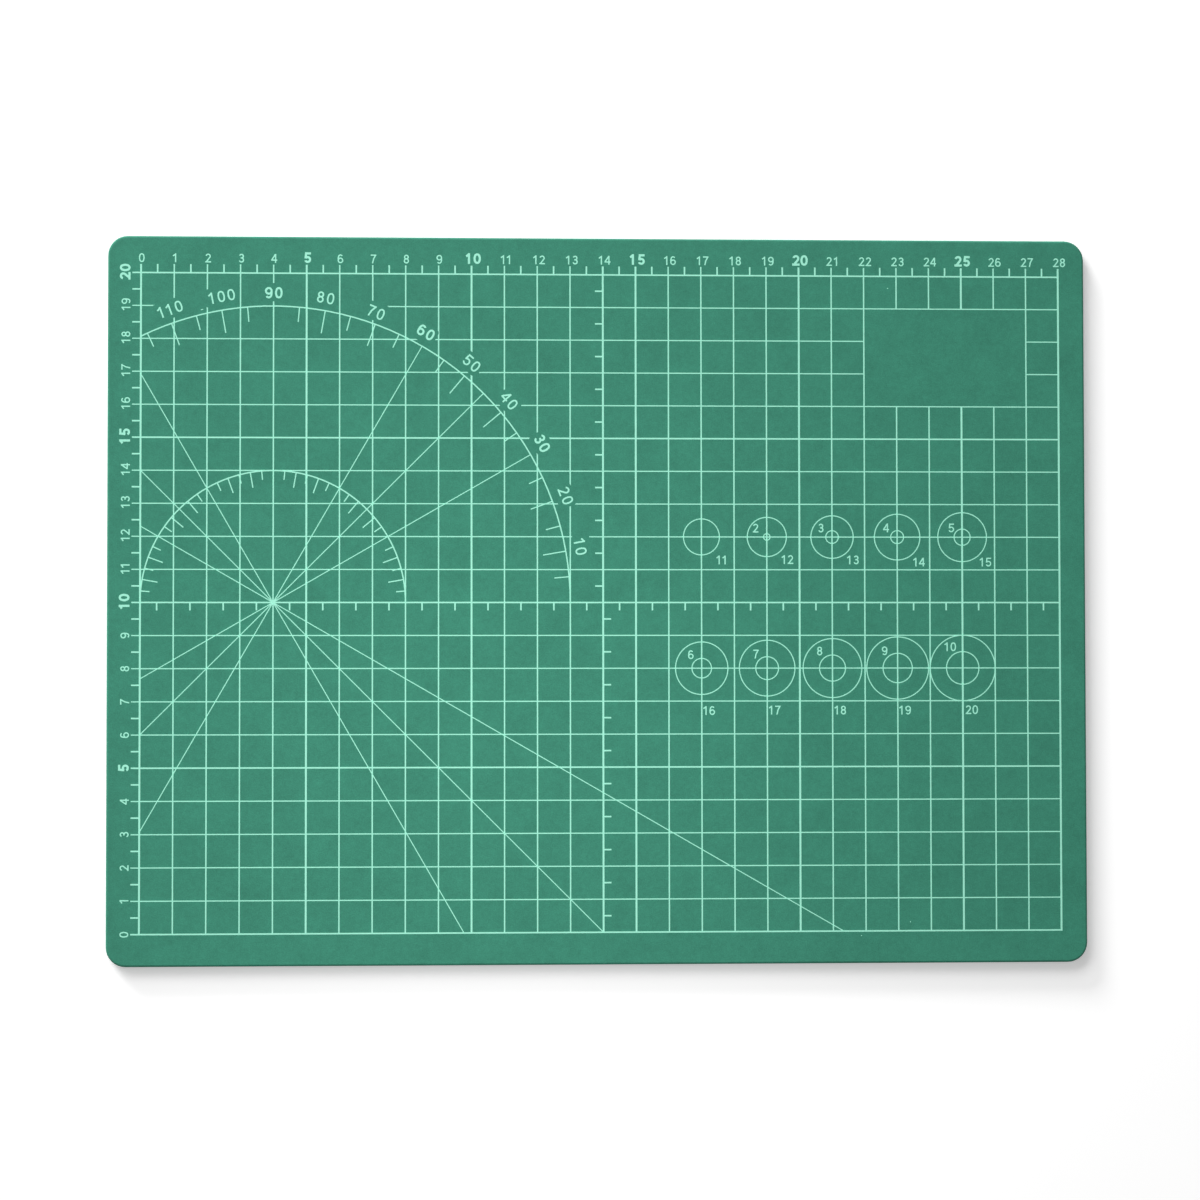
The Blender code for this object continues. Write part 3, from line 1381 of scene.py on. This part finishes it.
@dataclass(frozen=True)
class Studio:
    """White paper floor, soft lamps from the upper left and the camera above the mat."""

    floor_size: float = 6.0
    floor_drop: float = 0.00005
    ambient: float = 0.17
    azimuth: float = 122.0
    low_elevation: float = 12.5
    low_distance: float = 5.00
    low_size: Spot = (1.92, 0.79)
    low_watts: float = 307.0
    high_elevation: float = 34.0
    high_distance: float = 1.61
    high_size: Spot = (1.60, 0.67)
    high_watts: float = 21.2
    top_place: Vector = Vector((-0.033, -0.048, 0.140))
    top_size: Spot = (0.157, 0.157)
    top_watts: float = 0.068
    camera_place: Vector = Vector((-0.04369, -0.02764, 0.91391))
    camera_turn: Turns = (1.7435, -2.7459, -0.0750)
    lens: float = 90.0
    sensor: float = 36.0

    def build(self) -> None:
        """Builds the floor, the light and the camera."""
        self.lay_floor()
        self.light()
        self.place_camera()

    def lay_floor(self) -> None:
        """Lays the paper that the mat rests on."""
        mesh = bmesh.new()
        bmesh.ops.create_grid(mesh, x_segments=1, y_segments=1, size=self.floor_size / 2)
        bmesh.ops.translate(mesh, vec=(0.0, 0.0, -self.floor_drop), verts=mesh.verts)
        data = bpy.data.meshes.new("studio_floor")
        mesh.to_mesh(data)
        mesh.free()
        data.materials.append(StudioPaper().material())
        floor = bpy.data.objects.new("studio_floor", data)
        bpy.context.scene.collection.objects.link(floor)

    def light(self) -> None:
        """Hangs the lamps and sets the world: dim all round, white where the camera sees it."""
        low = self.from_mat(self.low_distance, self.low_elevation)
        high = self.from_mat(self.high_distance, self.high_elevation)
        below = Vector((self.top_place.x, self.top_place.y, 0.0))
        Softbox("low_softbox", low, Vector(), *self.low_size, self.low_watts).hang()
        Softbox("high_softbox", high, Vector(), *self.high_size, self.high_watts).hang()
        Softbox("top_softbox", self.top_place, below, *self.top_size, self.top_watts).hang()
        world = bpy.data.worlds.new("studio_world")
        world.use_nodes = True
        bpy.context.scene.world = world
        bench = Bench(world.node_tree)
        back = world.node_tree.nodes["Background"]
        back.inputs["Color"].default_value = WHITE
        bench.feed(back.inputs["Strength"], bench.math("MAXIMUM", seen(bench), self.ambient))

    def from_mat(self, distance: float, elevation: float) -> Vector:
        """A point on the lamps' side of the mat.

        Args:
            distance: how far it is from the mat's middle.
            elevation: how high it stands, in degrees.

        Returns:
            The point.
        """
        rise = math.radians(elevation)
        level = polar(distance * math.cos(rise), self.azimuth)
        return Vector((level.x, level.y, distance * math.sin(rise)))

    def place_camera(self) -> None:
        """Sets the camera over the mat, as the photograph has it."""
        camera = bpy.data.cameras.new("camera")
        camera.lens = self.lens
        camera.sensor_width = self.sensor
        stand = bpy.data.objects.new("camera", camera)
        stand.location = self.camera_place
        stand.rotation_euler = [math.radians(angle) for angle in self.camera_turn]
        bpy.context.scene.collection.objects.link(stand)
        bpy.context.scene.camera = stand
        bpy.context.scene.view_settings.view_transform = "Standard"


def main() -> None:
    """Dresses the plies, lays the small print and sets up the studio."""
    logging.basicConfig(level=logging.INFO, format="%(message)s")
    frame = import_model()
    field = Field.measured()
    Laminate().dress(frame["nodes"])
    ink = ScreenInk().material()
    for film in Film:
        dress_node(frame["nodes"][film.value], ink)
        bond(frame["nodes"][film.value])
    RulerMarks(field).build(ink)
    CentreMarks(field).build(ink)
    circles = CircleTemplates(field)
    circles.build(ink)
    figures = Figures()
    figures.build("ruler_figures", RulerFigures(field).labels(), ink)
    figures.build("protractor_figures", ProtractorFigures(field).labels(), ink)
    figures.build("circle_figures", circles.labels(), ink)
    InkFlecks(field).build(ink)
    Studio().build()


if __name__ == "__main__":
    main()
